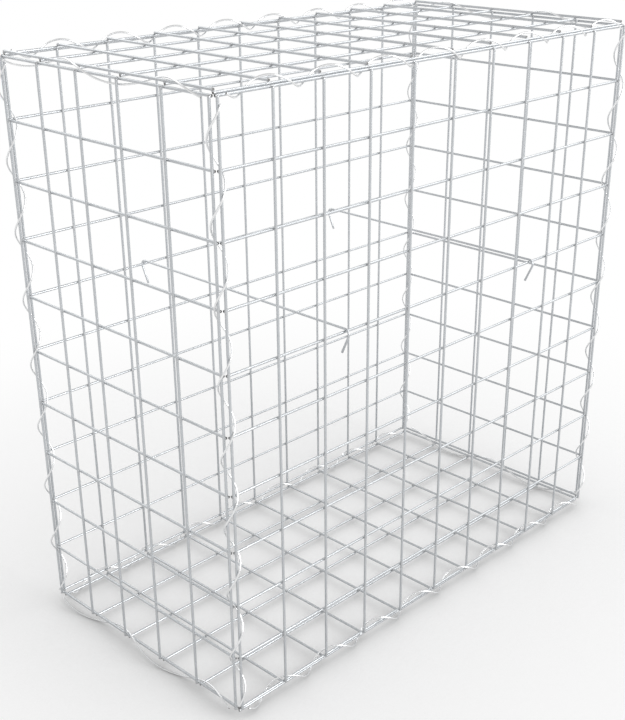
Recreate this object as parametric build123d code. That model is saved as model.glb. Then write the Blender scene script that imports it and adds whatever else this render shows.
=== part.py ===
from build123d import *
import os
from math import ceil, cos, pi, radians, sin, sqrt

# Empty gabion basket of welded mesh: six flat mesh panels, laced along all
# twelve edges by spiral wires and stayed by two hooked spacer wires.
# Lengths are millimetres and angles are degrees. X runs along the basket,
# Y across its depth and Z up. The origin ends up under the basket's middle,
# on the ground.

# Driving dimensions
basket_length = 1000.0  # between the axes of the outermost wires, along X
basket_depth = 500.0    # the same along Y
basket_height = 1000.0  # the same along Z
mesh_size = 100.0       # nominal width of a cell, which sets their number
wire = 4.5              # diameter of the mesh wire
spiral_wire = 3.0       # diameter of the lacing wire
spacer_wire = 4.0       # diameter of the spacer wire
fit = 0.3               # gap between wires that lie against each other
spiral_play = 0.6       # room that a spiral leaves the two edge wires inside it
upright_end = 10.0      # an upright spiral stops this far from the corners
level_start = 8.0       # a level spiral starts this far from its first corner
level_stop = 16.0       # and stops this far from its last one, clear of those that start there
hook_radius = 8.5       # bend of a spacer's end over the side wire
spacer_tail = 33.0      # straight end of the hook after that bend
spacer_height_share = 0.6   # the spacers hook over the row of wire at this height
spacer_place_share = 0.25   # and stand in the cells this far from each end

# Lacing: a spiral threads both panels between their cross wires
long_pitch_share = 1.2      # turn of a spiral on a long or upright edge, in cells
deep_pitch_share = 2.4      # turn of a spiral on an edge across the depth, in cells
thread_angle = 12.5         # cross wires pass this far outside the spiral's axis
mixed_skew = 8.0            # change of that angle where one panel is turned over
inward_angle = -135.0       # turn at which a spiral points into the corner
hook_turn = 115.0           # bend of a spacer's end, down and back under the wire

# Facets of the bars
mesh_sides = 6
spiral_sides = 5
spacer_sides = 6
turn_steps = 9              # straight runs in one turn of a spiral
hook_steps = 6              # straight runs in the bend of a hook

# A six-sided bar with the same area as the round wire, flat sides to the weld
hexagon_corner_share = 1 / sqrt(3)
hexagon_flats_share = sqrt(pi * hexagon_corner_share / 2)
bar_flats = wire * hexagon_flats_share
bar_corner = bar_flats * hexagon_corner_share

# Distances of the two wire layers of a panel outside the edge of its neighbours
inner_layer = (bar_flats + bar_corner) / 2 + fit / sqrt(2)
outer_layer = inner_layer + bar_flats
panel_seam = (inner_layer + outer_layer) / 2
wire_end = inner_layer - bar_corner - fit

# Spiral size: it clears both edge wires, though a chord lies inside its circle
chord_share = (1 - cos(pi / turn_steps)) / 2
spiral_reach = 1.5 * bar_flats + spiral_wire / 2 + spiral_play
spiral_radius = spiral_reach / (1 - sin(radians(thread_angle)) - chord_share)

# Each axis: its length, its direction, where it starts, and its whole cells
spans = {"X": basket_length, "Y": basket_depth, "Z": basket_height}
directions = {"X": Vector(1, 0, 0), "Y": Vector(0, 1, 0), "Z": Vector(0, 0, 1)}
starts = {"X": -basket_length / 2, "Y": -basket_depth / 2, "Z": 0}
counts = {axis: round(span / mesh_size) for axis, span in spans.items()}
cells = {axis: spans[axis] / counts[axis] for axis in spans}


def bar(axis, flat_axis):
    """Six-sided bar along the whole of an axis, with flat sides facing flat_axis."""
    plane = Plane((0, 0, 0), x_dir=directions[flat_axis], z_dir=directions[axis])
    outline = plane * RegularPolygon(bar_corner, mesh_sides, rotation=180 / mesh_sides)
    return Pos(directions[axis] * -wire_end) * extrude(outline, spans[axis] + 2 * wire_end)


def mesh_panel(first, second, normal):
    """Flat welded mesh: bars along first lie under the bars along second."""
    bars = []
    for row in range(counts[second] + 1):
        place = directions[second] * (row * cells[second]) - directions[normal] * (bar_flats / 2)
        bars.append(Pos(place) * bar(first, normal))
    for row in range(counts[first] + 1):
        place = directions[first] * (row * cells[first]) + directions[normal] * (bar_flats / 2)
        bars.append(Pos(place) * bar(second, normal))
    welded = bars[0].fuse(*bars[1:])
    corner = Pos(starts["X"], starts["Y"], starts["Z"])
    return Pos(directions[normal] * -panel_seam) * corner * welded


def moved_across(normal):
    """Move a panel from the low face of the basket to its high face."""
    return Pos(directions[normal] * (spans[normal] + 2 * panel_seam))


# Opposite panels are the same panel, moved across without turning it over
side = mesh_panel("Z", "X", "Y")
end = mesh_panel("Z", "Y", "X")
deck = mesh_panel("X", "Y", "Z")

pieces = {
    "front_panel": side,
    "back_panel": moved_across("Y") * side,
    "left_panel": end,
    "right_panel": moved_across("X") * end,
    "bottom_panel": deck,
    "lid_panel": moved_across("Z") * deck,
}

# Each panel's normal axis, its side, and the direction of its lower layer
panels = {
    "front": ("Y", -1, "Z"),
    "back": ("Y", 1, "Z"),
    "left": ("X", -1, "Z"),
    "right": ("X", 1, "Z"),
    "bottom": ("Z", -1, "X"),
    "lid": ("Z", 1, "X"),
}

# Edges: two panels, the axis, and where along it a turn is innermost, in cells
edges = {
    "front_left": ("front", "left", "Z", 0.7),
    "back_left": ("back", "left", "Z", 0.5),
    "front_right": ("front", "right", "Z", 1.1),
    "back_right": ("back", "right", "Z", 0.1),
    "front_top": ("front", "lid", "X", 0.5),
    "back_top": ("back", "lid", "X", 0.3),
    "front_bottom": ("front", "bottom", "X", 0.9),
    "back_bottom": ("back", "bottom", "X", 1.1),
    "left_top": ("left", "lid", "Y", 1.8),
    "right_top": ("right", "lid", "Y", 0.8),
    "left_bottom": ("left", "bottom", "Y", 0.775),
    "right_bottom": ("right", "bottom", "Y", 1.8),
}


def cross_is_outer(panel, axis):
    """Whether the wires across an edge lie in the panel's outer layer."""
    _, face, low_direction = panels[panel]
    low_is_cross = low_direction != axis
    return low_is_cross == (face < 0)


def swept_bar(points, diameter, sides):
    """Bar of few sides along straight runs with mitred corners."""
    path = Polyline(*points)
    section = Plane(origin=path @ 0, z_dir=path % 0) * RegularPolygon(diameter / 2, sides)
    return sweep(section, path=path, transition=Transition.RIGHT)


def edge_spiral(first, second, axis, inner_share):
    """Right-handed spiral that wraps the edge wires of two panels."""
    skew = mixed_skew * (cross_is_outer(first, axis) - cross_is_outer(second, axis))
    centre = Vector(0, 0, 0)
    outward = []
    angles = []
    for panel, sign in ((first, 1), (second, -1)):
        normal, face, _ = panels[panel]
        angle = radians(thread_angle + sign * skew)
        layer = outer_layer if cross_is_outer(panel, axis) else inner_layer
        edge_place = starts[normal] if face < 0 else starts[normal] + spans[normal]
        outward.append(directions[normal] * face)
        angles.append(angle)
        centre += directions[normal] * edge_place + outward[-1] * (layer - spiral_radius * sin(angle))
    along = directions[axis]
    turning = 1 if outward[0].cross(outward[1]).dot(along) > 0 else -1
    inward = radians(inward_angle) + (angles[0] - angles[1]) / 2
    pitch = cells[axis] * (deep_pitch_share if axis == "Y" else long_pitch_share)
    low_end = upright_end if axis == "Z" else level_start
    high_end = upright_end if axis == "Z" else level_stop
    run = spans[axis] - low_end - high_end
    steps = ceil(run * turn_steps / pitch)
    corner_radius = spiral_radius * (1 + chord_share)
    points = []
    for step in range(steps + 1):
        travel = low_end + run * step / steps
        turn = inward + turning * 2 * pi * (travel - inner_share * cells[axis]) / pitch
        spoke = outward[0] * cos(turn) + outward[1] * sin(turn)
        points.append(centre + spoke * corner_radius + along * (starts[axis] + travel))
    return swept_bar(points, spiral_wire, spiral_sides)


for edge, (first, second, axis, inner_share) in edges.items():
    pieces[edge + "_spiral"] = edge_spiral(first, second, axis, inner_share)


def spacer(side_sign):
    """Straight stay with an end hooked down and back over a wire of each side panel."""
    cells_in = int(spacer_place_share * counts["X"]) + 0.5
    x = side_sign * (basket_length / 2 - cells_in * cells["X"])
    row = round(spacer_height_share * counts["Z"])
    level = row * cells["Z"] + bar_corner + fit + spacer_wire / 2
    front = starts["Y"] - inner_layer
    back = starts["Y"] + basket_depth + outer_layer
    hook = []
    for step in range(hook_steps + 1):
        turn = radians(hook_turn) * step / hook_steps
        hook.append((hook_radius * sin(turn), hook_radius * (1 - cos(turn))))
    out, down = hook[-1]
    hook.append((out + spacer_tail * cos(turn), down + spacer_tail * sin(turn)))
    points = [(x, front - out, level - down) for out, down in reversed(hook)]
    points += [(x, back + out, level - down) for out, down in hook]
    return swept_bar(points, spacer_wire, spacer_sides)


pieces["left_spacer"] = spacer(-1)
pieces["right_spacer"] = spacer(1)

# Stand the basket on its lowest spirals, with the origin under its middle
box = Compound(list(pieces.values())).bounding_box()
to_ground = Pos(-box.center().X, -box.center().Y, -box.min.Z)

os.makedirs("parts", exist_ok=True)
for name, piece in pieces.items():
    export_step(to_ground * piece, "parts/" + name + ".step")
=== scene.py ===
from math import cos, pi, radians, sin

import bpy
import numpy as np
from mathutils import Euler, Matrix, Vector


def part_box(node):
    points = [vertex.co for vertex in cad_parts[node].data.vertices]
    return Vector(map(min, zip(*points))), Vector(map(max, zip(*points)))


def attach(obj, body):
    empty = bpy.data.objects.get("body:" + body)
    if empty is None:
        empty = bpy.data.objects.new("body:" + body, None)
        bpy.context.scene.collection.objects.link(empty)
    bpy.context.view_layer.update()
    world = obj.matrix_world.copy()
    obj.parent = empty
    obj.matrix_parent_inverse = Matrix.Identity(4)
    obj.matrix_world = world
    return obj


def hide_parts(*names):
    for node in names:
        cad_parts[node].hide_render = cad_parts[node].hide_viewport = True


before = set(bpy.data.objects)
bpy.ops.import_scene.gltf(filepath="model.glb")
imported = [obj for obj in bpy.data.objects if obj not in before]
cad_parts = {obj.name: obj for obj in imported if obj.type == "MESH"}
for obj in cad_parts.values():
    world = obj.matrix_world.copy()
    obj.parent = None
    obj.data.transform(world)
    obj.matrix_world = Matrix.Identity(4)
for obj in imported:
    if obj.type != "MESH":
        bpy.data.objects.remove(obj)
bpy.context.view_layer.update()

# Empty gabion basket of welded wire mesh, laced by spirals and stayed by two
# hooked spacers. Lengths are metres and angles are degrees.

# Mesh: cells along X, Y and Z, their width, and the round wire
cell_counts = (10, 5, 10)
cell = 0.1
wire = 0.0045
wire_sides = 16
wire_end = 0.0008           # a wire runs this far past the edge wire's axis
end_chamfer = 0.0004        # bevel of a cut wire's end
end_share = 0.82            # radius left at the cut

# Welds where wires cross
weld_reach = 0.009          # length of dulled zinc on each side of a weld
weld_station_shares = (-1, -0.6, -0.3, -0.15, 0, 0.15, 0.3, 0.6, 1)
weld_swell_share = 0.03     # wires are upset this much at a weld
swell_reach_share = 0.25    # over this much of the dulled length
bead_radius = 0.0024        # flash squeezed out between the two wires
bead_half = 0.0013
bead_spread_share = 0.18    # difference in size from bead to bead
bead_rings = 6
bead_sides = 12

# Spirals
lacing = 0.003
lacing_sides = 12
long_pitch = 1.2 * cell
deep_pitch = 2.4 * cell
spiral_step = 0.0025        # length of one straight run of a spiral
spiral_slack = lacing / 4   # left at each end, inside the CAD node's length
polygon_share = 0.965       # of the CAD polygon's corner radius, on its mean circle

# Spacers
spacer = 0.004
hook_radius = 0.0085
hook_turn = 115.0
hook_tail = 0.033
hook_steps = 24
stay_steps = 40

# Zinc: scales of its patterns, and their shares of its tone and relief
crystal_scale = 170.0
crystal_share = 0.3
patch_scale = 11.0
patch_detail = 3.0
patch_share = 0.4
mottle_scale = 420.0
mottle_detail = 4.0
mottle_roughness = 0.65
mottle_share = 0.2
streak_stretch = (26.0, 2300.0, 1.0)    # along and around a wire
streak_detail = 3.0
streak_relief_share = 0.5
streak_shift = 5.0          # each wire's streaks start up to this far along
noise_range = (0.3, 0.7)    # where most of a noise's values lie
scorch_range = (0.25, 0.75)
scorch_least_share = 0.35   # of a weld's dull colour, in its lightest spots
scorch_roughness = 0.18     # added at a weld
relief_depth = 0.0002
cut_steel = (0.22, 0.215, 0.21)

# Camera: the photograph's frame is 625 by 720 pixels
image_width = 625
image_height = 720
focal_pixels = 1188.5
principal_point = (335.6, 414.0)
sensor = 36.0
eye = Vector((-1.5378, -1.4660, 1.2992))
heading = 46.24             # from +Y towards +X
looking_down = 25.01

# Studio
floor_radius = 60.0
floor_sides = 96
floor_seen = 0.97           # colour of the floor as the camera and the metal see it
floor_bounce = 0.3          # and for the light that it throws back
floor_reach = 0.5           # painted shade: things nearer than this darken the floor's colour
floor_depth = 0.75          # and how strongly the painted shade darkens it
floor_samples = 16
near_floor = 0.35           # from here the floor turns white
far_floor = 1.6             # and here it is white
floor_glow = 0.45           # share of that white close by
sky_low = 0.26              # brightness of the sky at the horizon
sky_gain = 0.30             # more of it overhead
sky_seen = 1.0              # the sky at the horizon as the camera and the metal see it
sky_fall = -0.38            # and its change towards overhead
lamp_distance = 9.0
lamp_width = 6.5
# Soft lamps: bearing from +Y towards +X, height above the horizon, and watts
lamps = {
    "key": (165.0, 18.0, 540.0),
    "side": (108.0, 35.0, 200.0),
    "back": (0.0, 33.0, 130.0),
}

# The Mix node's colour sockets, which come after those for numbers and vectors
mix_first = 6
mix_second = 7
mix_result = 2

random = np.random.default_rng(7)
axes = np.eye(3)

# The mesh is centred on the panels of the frame
front_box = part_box("front_panel")
left_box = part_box("left_panel")
middle = (
    (front_box[0].x + front_box[1].x) / 2,
    (left_box[0].y + left_box[1].y) / 2,
    (front_box[0].z + front_box[1].z) / 2,
)


class Bundle:
    """Joined mesh of many wires and beads, with a UV along and around each wire."""

    def __init__(self):
        self.points = []
        self.faces = []
        self.flat = []
        self.uvs = []
        self.welds = []
        self.cuts = []

    def rings(self, rings, along, around, weld, cut):
        """Closed tube through rings of points, an array of ring by side by 3."""
        count, sides, _ = rings.shape
        first = sum(len(points) for points in self.points)
        self.points.append(rings.reshape(-1, 3))
        self.welds.append(np.repeat(weld, sides))
        self.cuts.append(np.repeat(cut, sides))
        for ring in range(count - 1):
            low = first + ring * sides
            high = low + sides
            u = (along[ring], along[ring + 1])
            for side in range(sides):
                after = (side + 1) % sides
                self.faces.append((low + side, low + after, high + after, high + side))
                self.flat.append(False)
                v = (side / sides * around, (side + 1) / sides * around)
                self.uvs += [(u[0], v[0]), (u[0], v[1]), (u[1], v[1]), (u[1], v[0])]
        last = first + (count - 1) * sides
        for cap, place in (
            (range(first + sides - 1, first - 1, -1), along[0]),
            (range(last, last + sides), along[-1]),
        ):
            self.faces.append(tuple(cap))
            self.flat.append(True)
            self.uvs += [(place, around * k / sides) for k in range(sides)]

    def tube(self, path, normals, radius, sides, weld=None, swell=None):
        """Round wire along a path of points, with bevelled ends."""
        path = np.asarray(path, float)
        tangents = np.gradient(path, axis=0)
        tangents /= np.linalg.norm(tangents, axis=1, keepdims=True)
        normals = np.broadcast_to(normals, path.shape)
        normals = normals - (normals * tangents).sum(1, keepdims=True) * tangents
        normals /= np.linalg.norm(normals, axis=1, keepdims=True)
        across = np.cross(tangents, normals)
        weld = np.zeros(len(path)) if weld is None else weld
        radii = np.full(len(path), radius) * (1 if swell is None else swell)
        bevel = tangents[[0, -1]] * end_chamfer
        first_ring = path[:1] + bevel[:1]
        last_ring = path[-1:] - bevel[1:]
        path = np.vstack([path[:1], first_ring, path[1:-1], last_ring, path[-1:]])
        doubled = np.r_[0, np.arange(len(radii)), len(radii) - 1]
        normals = normals[doubled]
        across = across[doubled]
        weld = weld[doubled]
        radii = radii[doubled]
        radii[[0, -1]] *= end_share
        cut = np.zeros(len(radii))
        cut[[0, -1]] = 1
        turn = np.linspace(0, 2 * pi, sides, endpoint=False)
        circle = normals[:, None] * np.cos(turn)[:, None] + across[:, None] * np.sin(turn)[:, None]
        rings = path[:, None] + circle * radii[:, None, None]
        along = np.r_[0, np.cumsum(np.linalg.norm(np.diff(path, axis=0), axis=1))]
        self.rings(rings, along + random.uniform(0, streak_shift), 2 * pi * radius, weld, cut)

    def bead(self, place, first, second, normal):
        """Flattened drop of weld metal between two crossing wires."""
        size = 1 + bead_spread_share * random.uniform(-1, 1, 3)
        tilt = np.linspace(-pi / 2, pi / 2, bead_rings + 2)[1:-1]
        turn = np.linspace(0, 2 * pi, bead_sides, endpoint=False)
        flat = first * np.cos(turn)[:, None] * size[0] + second * np.sin(turn)[:, None] * size[1]
        rings = bead_radius * np.cos(tilt)[:, None, None] * flat
        rings = rings + (bead_half * size[2] * np.sin(tilt))[:, None, None] * normal + place
        weld = np.ones(bead_rings)
        cut = np.zeros(bead_rings)
        self.rings(rings, tilt * bead_half, 2 * pi * bead_radius, weld, cut)

    def piece(self, name, material, slot):
        """The bundle as an object that stands for the CAD node of the same name."""
        mesh = bpy.data.meshes.new(name + "_wire")
        mesh.from_pydata(np.vstack(self.points).tolist(), [], self.faces)
        mesh.polygons.foreach_set("use_smooth", [not flat for flat in self.flat])
        layer = mesh.uv_layers.new(name="along_wire")
        layer.data.foreach_set("uv", np.asarray(self.uvs, np.float32).ravel())
        for label, values in (("weld", self.welds), ("cut", self.cuts)):
            attribute = mesh.attributes.new(label, "FLOAT", "POINT")
            attribute.data.foreach_set("value", np.concatenate(values).astype(np.float32))
        mesh.materials.append(material)
        made = bpy.data.objects.new(name + "_wire", mesh)
        bpy.context.scene.collection.objects.link(made)
        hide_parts(name)
        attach(made, "root")


def wire_stations(half, count):
    """Places along a mesh wire: its ends, and several round each crossing."""
    crossings = (np.arange(count + 1) - count / 2) * cell
    near = np.array(weld_station_shares) * weld_reach
    inner = (crossings[:, None] + near).ravel()
    inner = inner[np.abs(inner) < half - 2 * end_chamfer]
    return np.r_[-half, inner, half], crossings


def mesh_panel(name, normal, first, second):
    """Welded panel: wires along first lie under the wires along second."""
    low, high = (np.array(corner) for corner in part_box(name))
    quarter = (high[normal] - low[normal]) / 4
    bundle = Bundle()
    for along, across, layer in (
        (first, second, low[normal] + quarter),
        (second, first, high[normal] - quarter),
    ):
        half = cell_counts[along] * cell / 2 + wire_end
        places, crossings = wire_stations(half, cell_counts[along])
        nearest = np.abs(places[:, None] - crossings).min(1)
        weld = np.clip(1 - nearest / weld_reach, 0, 1)
        swell = np.clip(1 - nearest / (weld_reach * swell_reach_share), 0, 1)
        swell = 1 + weld_swell_share * swell
        for row in range(cell_counts[across] + 1):
            path = np.tile(np.array(middle, float), (len(places), 1))
            path[:, normal] = layer
            path[:, along] += places
            path[:, across] += (row - cell_counts[across] / 2) * cell
            bundle.tube(path, axes[normal], wire / 2, wire_sides, weld, swell)
    for i in range(cell_counts[first] + 1):
        for j in range(cell_counts[second] + 1):
            place = np.array(middle, float)
            place[normal] = (low[normal] + high[normal]) / 2
            place[first] += (i - cell_counts[first] / 2) * cell
            place[second] += (j - cell_counts[second] / 2) * cell
            bundle.bead(place, axes[first], axes[second], axes[normal])
    return bundle


def edge_spiral(name, axis, pitch):
    """Smooth spiral with the axis, radius and turn of its CAD node."""
    rest = np.array([vertex.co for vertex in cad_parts[name].data.vertices])
    along = rest[:, axis]
    u, v = (axis + 1) % 3, (axis + 2) % 3
    turn = np.exp(2j * pi * along / pitch)
    columns = np.stack([np.ones_like(turn), turn], axis=1)
    centre, spoke = np.linalg.lstsq(columns, rest[:, u] + 1j * rest[:, v], rcond=None)[0]
    run = along.max() - along.min() - 2 * spiral_slack
    places = along.min() + spiral_slack + np.linspace(0, run, int(run / spiral_step))
    arm = spoke * polygon_share * np.exp(2j * pi * places / pitch)
    path = np.zeros((len(places), 3))
    path[:, axis] = places
    path[:, u] = centre.real + arm.real
    path[:, v] = centre.imag + arm.imag
    spokes = np.zeros_like(path)
    spokes[:, u] = arm.real
    spokes[:, v] = arm.imag
    bundle = Bundle()
    bundle.tube(path, spokes, lacing / 2, lacing_sides)
    return bundle


def spacer_stay(name):
    """Stay with an end hooked down and back over a wire of each side panel."""
    low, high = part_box(name)
    front_low, front_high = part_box("front_panel")
    _, back_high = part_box("back_panel")
    layer = (front_high.y - front_low.y) / 4
    x = (low.x + high.x) / 2
    level = high.z - spacer / 2
    hook = []
    for step in range(hook_steps + 1):
        turn = radians(hook_turn) * step / hook_steps
        hook.append((hook_radius * sin(turn), hook_radius * (1 - cos(turn))))
    out, down = hook[-1]
    hook.append((out + hook_tail * cos(turn), down + hook_tail * sin(turn)))
    front = front_high.y - layer
    back = back_high.y - layer
    path = [(x, front - out, level - down) for out, down in reversed(hook)]
    path += [(x, front + (back - front) * k / stay_steps, level) for k in range(1, stay_steps)]
    path += [(x, back + out, level - down) for out, down in hook]
    bundle = Bundle()
    bundle.tube(path, axes[0], spacer / 2, wire_sides)
    return bundle


def add(tree, kind, **values):
    """Shader node with its properties and unlinked inputs set."""
    node = tree.nodes.new(kind)
    for name, value in values.items():
        if name in node.inputs:
            node.inputs[name].default_value = value
        else:
            setattr(node, name, value)
    return node


def noise(tree, vector, scale, detail, rough=0.55):
    """Value of a noise pattern."""
    node = add(tree, "ShaderNodeTexNoise", Scale=scale, Detail=detail, Roughness=rough)
    tree.links.new(vector, node.inputs["Vector"])
    return node.outputs["Fac"]


def ranged(tree, value, to_low, to_high, source=noise_range):
    """Value moved from one range to another, and held inside it."""
    node = tree.nodes.new("ShaderNodeMapRange")
    node.inputs["From Min"].default_value = source[0]
    node.inputs["From Max"].default_value = source[1]
    node.inputs["To Min"].default_value = to_low
    node.inputs["To Max"].default_value = to_high
    tree.links.new(value, node.inputs["Value"])
    return node.outputs["Result"]


def maths(tree, operation, *values):
    """Result of a sum on numbers or on other nodes' values."""
    node = add(tree, "ShaderNodeMath", operation=operation)
    for socket, value in zip(node.inputs, values):
        if isinstance(value, float):
            socket.default_value = value
        else:
            tree.links.new(value, socket)
    return node.outputs["Value"]


def mixed(tree, factor, first, second):
    """Colour between two colours, each a tuple or another node's colour."""
    node = add(tree, "ShaderNodeMix", data_type="RGBA")
    tree.links.new(factor, node.inputs["Factor"])
    for number, value in ((mix_first, first), (mix_second, second)):
        if isinstance(value, tuple):
            node.inputs[number].default_value = (*value, 1)
        else:
            tree.links.new(value, node.inputs[number])
    return node.outputs[mix_result]


def attribute(tree, name):
    """Value of a mesh attribute."""
    return add(tree, "ShaderNodeAttribute", attribute_name=name).outputs["Fac"]


def zinc(name, light, dark, weld_colour, metallic, smooth, rough, streaks, relief):
    """Galvanised wire: crystals and patches in the zinc, drawing streaks, dull welds."""
    material = bpy.data.materials.new(name)
    material.use_nodes = True
    tree = material.node_tree
    tree.nodes.clear()
    output = tree.nodes.new("ShaderNodeOutputMaterial")
    shader = add(tree, "ShaderNodeBsdfPrincipled", Metallic=metallic)
    tree.links.new(shader.outputs["BSDF"], output.inputs["Surface"])

    # Patterns
    coordinates = tree.nodes.new("ShaderNodeTexCoord")
    place = coordinates.outputs["Object"]
    stretch = add(tree, "ShaderNodeMapping", Scale=streak_stretch)
    tree.links.new(coordinates.outputs["UV"], stretch.inputs["Vector"])
    crystal = add(tree, "ShaderNodeTexVoronoi", Scale=crystal_scale, Randomness=1.0)
    tree.links.new(place, crystal.inputs["Vector"])
    crystals = tree.nodes.new("ShaderNodeSeparateColor")
    tree.links.new(crystal.outputs["Color"], crystals.inputs["Color"])
    patches = noise(tree, place, patch_scale, patch_detail)
    mottle = noise(tree, place, mottle_scale, mottle_detail, mottle_roughness)
    streak = noise(tree, stretch.outputs["Vector"], 1.0, streak_detail)
    scorched = ranged(tree, mottle, scorch_least_share, 1.0, scorch_range)
    scorch = maths(tree, "MULTIPLY", attribute(tree, "weld"), scorched)

    # Colour
    patch_tone = ranged(tree, patches, 0.0, patch_share)
    tone = maths(tree, "MULTIPLY_ADD", crystals.outputs["Red"], crystal_share, patch_tone)
    tone = maths(tree, "ADD", tone, ranged(tree, mottle, 0.0, mottle_share))
    tone = maths(tree, "ADD", tone, ranged(tree, streak, -streaks, streaks))
    colour = mixed(tree, tone, dark, light)
    colour = mixed(tree, scorch, colour, weld_colour)
    colour = mixed(tree, attribute(tree, "cut"), colour, cut_steel)
    tree.links.new(colour, shader.inputs["Base Color"])

    # Roughness and relief
    polish = ranged(tree, mottle, smooth, rough)
    roughness = maths(tree, "MULTIPLY_ADD", scorch, scorch_roughness, polish)
    tree.links.new(roughness, shader.inputs["Roughness"])
    height = maths(tree, "MULTIPLY_ADD", streak, streak_relief_share, mottle)
    bump = add(tree, "ShaderNodeBump", Strength=relief, Distance=relief_depth)
    tree.links.new(height, bump.inputs["Height"])
    tree.links.new(bump.outputs["Normal"], shader.inputs["Normal"])
    return material


def seen_share(tree):
    """One for rays from the camera, the metal and glass, and nought for the rest."""
    path = tree.nodes.new("ShaderNodeLightPath")
    seen = maths(tree, "ADD", path.outputs["Is Camera Ray"], path.outputs["Is Glossy Ray"])
    seen = maths(tree, "ADD", seen, path.outputs["Is Transmission Ray"])
    return maths(tree, "MINIMUM", seen, 1.0)


def studio_sky():
    """Soft sky that lights the basket, and is pale to the camera and the metal."""
    world = bpy.data.worlds.new("studio")
    bpy.context.scene.world = world
    world.use_nodes = True
    tree = world.node_tree
    background = tree.nodes["Background"]
    background.inputs["Color"].default_value = (1, 1, 1, 1)
    coordinates = tree.nodes.new("ShaderNodeTexCoord")
    split = tree.nodes.new("ShaderNodeSeparateXYZ")
    tree.links.new(coordinates.outputs["Generated"], split.inputs["Vector"])
    up = maths(tree, "MAXIMUM", split.outputs["Z"], 0.0)
    strength = add(tree, "ShaderNodeMix", data_type="FLOAT")
    tree.links.new(seen_share(tree), strength.inputs["Factor"])
    tree.links.new(maths(tree, "MULTIPLY_ADD", up, sky_gain, sky_low), strength.inputs["A"])
    tree.links.new(maths(tree, "MULTIPLY_ADD", up, sky_fall, sky_seen), strength.inputs["B"])
    tree.links.new(strength.outputs["Result"], background.inputs["Strength"])


def soft_lamp(name, bearing, height, power):
    """Large round lamp that faces the basket's middle."""
    data = bpy.data.lights.new(name, "AREA")
    data.shape = "DISK"
    data.size = lamp_width
    data.energy = power
    bearing, height = radians(bearing), radians(height)
    towards = Vector((sin(bearing) * cos(height), cos(bearing) * cos(height), sin(height)))
    lamp = bpy.data.objects.new(name, data)
    lamp.location = Vector(middle) + towards * lamp_distance
    lamp.rotation_euler = towards.to_track_quat("Z", "Y").to_euler()
    bpy.context.scene.collection.objects.link(lamp)


def pale_floor():
    """Floor material with the basket's real shadow, painted shade where the basket is near, and
    white far off.
    """
    material = bpy.data.materials.new("pale_floor")
    material.use_nodes = True
    tree = material.node_tree
    tree.nodes.clear()
    output = tree.nodes.new("ShaderNodeOutputMaterial")
    matt = tree.nodes.new("ShaderNodeBsdfDiffuse")
    white = tree.nodes.new("ShaderNodeEmission")
    white.inputs["Color"].default_value = (1, 1, 1, 1)
    seen = seen_share(tree)
    # Painted shade: ambient occlusion darkens the floor's colour and its white where the basket is
    # near
    floor_occlusion = add(tree, "ShaderNodeAmbientOcclusion", samples=floor_samples, Distance=floor_reach)
    open_sky = maths(tree, "POWER", floor_occlusion.outputs["AO"], floor_depth)
    tree.links.new(open_sky, white.inputs["Strength"])
    floor_painted_shade = mixed(tree, open_sky, (0.0,) * 3, (floor_seen,) * 3)
    grey = mixed(tree, seen, (floor_bounce,) * 3, floor_painted_shade)
    tree.links.new(grey, matt.inputs["Color"])
    coordinates = tree.nodes.new("ShaderNodeTexCoord")
    away = add(tree, "ShaderNodeVectorMath", operation="LENGTH")
    tree.links.new(coordinates.outputs["Object"], away.inputs[0])
    far = ranged(tree, away.outputs["Value"], floor_glow, 1.0, (near_floor, far_floor))
    far.node.interpolation_type = "SMOOTHSTEP"
    blend = tree.nodes.new("ShaderNodeMixShader")
    tree.links.new(maths(tree, "MULTIPLY", seen, far), blend.inputs["Fac"])
    tree.links.new(matt.outputs["BSDF"], blend.inputs[1])
    tree.links.new(white.outputs["Emission"], blend.inputs[2])
    tree.links.new(blend.outputs["Shader"], output.inputs["Surface"])
    return material


def studio_floor():
    """Round floor under the basket, which is not part of it."""
    mesh = bpy.data.meshes.new("floor")
    turns = np.linspace(0, 2 * pi, floor_sides, endpoint=False)
    ring = [(floor_radius * cos(turn), floor_radius * sin(turn), 0) for turn in turns]
    mesh.from_pydata(ring, [], [tuple(range(floor_sides))])
    mesh.materials.append(pale_floor())
    floor = bpy.data.objects.new("floor", mesh)
    bpy.context.scene.collection.objects.link(floor)


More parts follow.
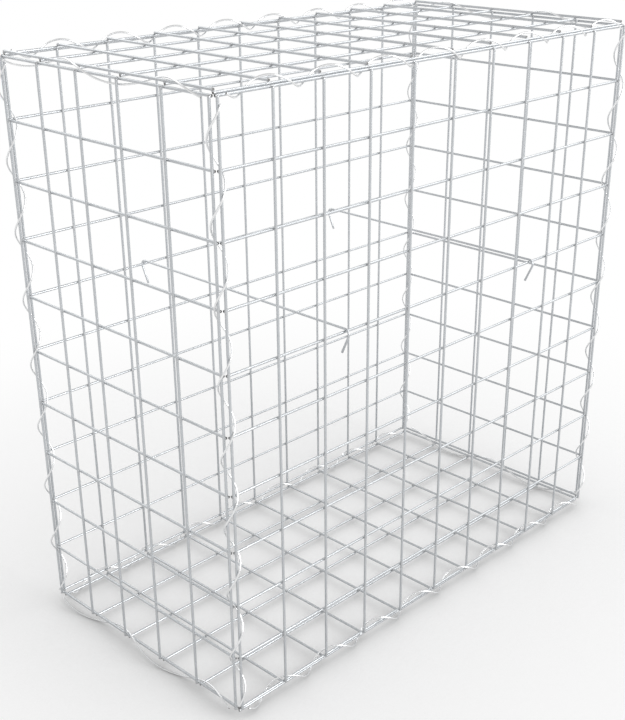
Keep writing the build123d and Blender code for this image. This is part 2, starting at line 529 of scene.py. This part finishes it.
def photo_camera():
    """Camera that stands where the photograph was taken from."""
    data = bpy.data.cameras.new("camera")
    data.sensor_fit = "VERTICAL"
    data.sensor_height = sensor
    data.lens = focal_pixels * sensor / image_height
    data.shift_x = (image_width / 2 - principal_point[0]) / image_height
    data.shift_y = (principal_point[1] - image_height / 2) / image_height
    camera = bpy.data.objects.new("camera", data)
    camera.location = eye
    camera.rotation_euler = Euler((radians(90 - looking_down), 0, radians(-heading)))
    bpy.context.scene.collection.objects.link(camera)
    bpy.context.scene.camera = camera


mesh_zinc = zinc(
    "mesh_zinc",
    light=(0.63, 0.65, 0.67),
    dark=(0.53, 0.55, 0.57),
    weld_colour=(0.56, 0.57, 0.58),
    metallic=0.75,
    smooth=0.18,
    rough=0.25,
    streaks=0.1,
    relief=0.08,
)
lacing_zinc = zinc(
    "lacing_zinc",
    light=(0.89, 0.895, 0.90),
    dark=(0.80, 0.805, 0.81),
    weld_colour=(0.8, 0.8, 0.8),
    metallic=0.85,
    smooth=0.16,
    rough=0.24,
    streaks=0.04,
    relief=0.06,
)
spacer_zinc = zinc(
    "spacer_zinc",
    light=(0.63, 0.65, 0.67),
    dark=(0.53, 0.55, 0.57),
    weld_colour=(0.5, 0.5, 0.5),
    metallic=0.75,
    smooth=0.18,
    rough=0.25,
    streaks=0.08,
    relief=0.08,
)

# Each panel's normal axis, and the axes of its lower and upper wires
for name, normal, first, second in (
    ("front_panel", 1, 2, 0),
    ("back_panel", 1, 2, 0),
    ("left_panel", 0, 2, 1),
    ("right_panel", 0, 2, 1),
    ("bottom_panel", 2, 0, 1),
    ("lid_panel", 2, 0, 1),
):
    mesh_panel(name, normal, first, second).piece(name, mesh_zinc, "mesh_wire")

# Each spiral's axis and pitch
for axis, pitch, edges in (
    (0, long_pitch, ("front_top", "back_top", "front_bottom", "back_bottom")),
    (1, deep_pitch, ("left_top", "right_top", "left_bottom", "right_bottom")),
    (2, long_pitch, ("front_left", "back_left", "front_right", "back_right")),
):
    for edge in edges:
        name = edge + "_spiral"
        edge_spiral(name, axis, pitch).piece(name, lacing_zinc, "lacing_wire")

for name in ("left_spacer", "right_spacer"):
    spacer_stay(name).piece(name, spacer_zinc, "spacer_wire")

photo_camera()
studio_sky()
studio_floor()
for name, placing in lamps.items():
    soft_lamp(name, *placing)
bpy.context.scene.view_settings.view_transform = "Standard"
